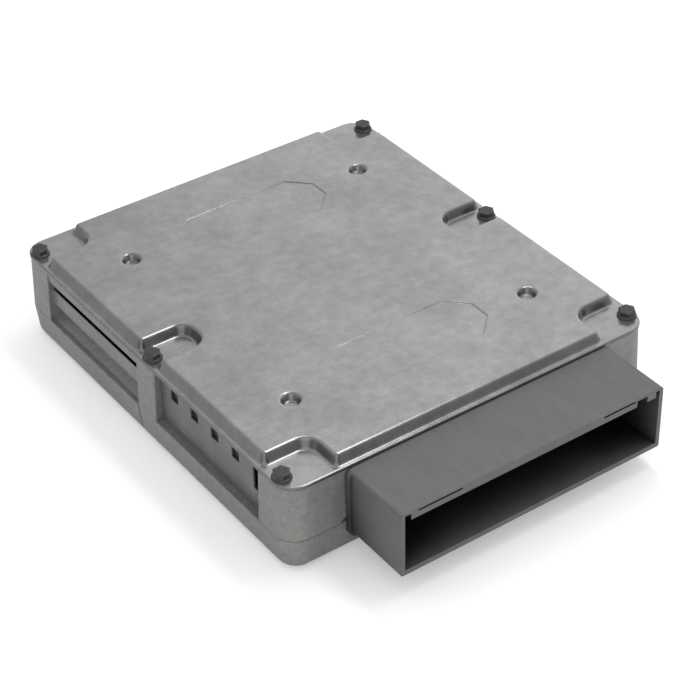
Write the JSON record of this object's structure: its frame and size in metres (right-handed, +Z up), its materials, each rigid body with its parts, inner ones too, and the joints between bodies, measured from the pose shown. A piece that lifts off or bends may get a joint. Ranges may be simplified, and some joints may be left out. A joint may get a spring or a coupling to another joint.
{
  "type": "engine control unit",
  "caption": "Flat cast-metal engine control unit with a raised pressed cover, recessed side bays and a wide rectangular plug socket on one edge.",
  "frame": {"origin": "centre of the housing's flat underside, the plug socket left out", "axes": "+X across the unit, -Y the way the plug socket faces, +Z up through the top cover"},
  "size_m": [0.1686, 0.222, 0.0435],
  "materials": {
    "cover_aluminium": "dull pressed sheet with faint rolling marks",
    "cast_aluminium": "matt pressure casting, slightly mottled",
    "screw_steel": "dark oiled steel",
    "clip_steel": "plain spring steel",
    "socket_plastic": "dark grey moulded, fine texture",
    "contact_brass": "plated contact metal",
    "insert_brass": "turned brass",
    "board_laminate": "green solder mask",
    "chip_black": "moulded chip package",
    "thermal_pad": "soft grey pad",
    "crystal_can": "plated can",
    "capacitor_sleeve": "shrunk sleeve over an aluminium can",
    "choke_ferrite": "ferrite drum",
    "chip_capacitor": "ceramic with tinned ends"
  },
  "bodies": {
    "root": {"top_cover": "cover_aluminium", "cover_screws": "screw_steel", "housing_frame": "cast_aluminium", "lower_cover": "cast_aluminium", "heatsink_clip_left": "clip_steel", "heatsink_clip_right": "clip_steel", "power_transistors_left": "chip_black", "power_transistors_right": "chip_black", "thermal_pad_left": "thermal_pad", "thermal_pad_right": "thermal_pad", "plug_socket": "socket_plastic", "jackscrew_insert": "insert_brass", "contact_pins_row_1": "contact_brass", "contact_pins_row_2": "contact_brass", "contact_pins_row_3": "contact_brass", "contact_pins_row_4": "contact_brass", "circuit_board": "board_laminate", "board_screws": "screw_steel", "socket_screws": "screw_steel", "processor_chip": "chip_black", "memory_chip": "chip_black", "clock_crystal": "crystal_can", "driver_chips": "chip_black", "filter_capacitors": "capacitor_sleeve", "power_choke": "choke_ferrite", "voltage_regulator": "chip_black", "chip_capacitors": "chip_capacitor"}
  },
  "joints": []
}
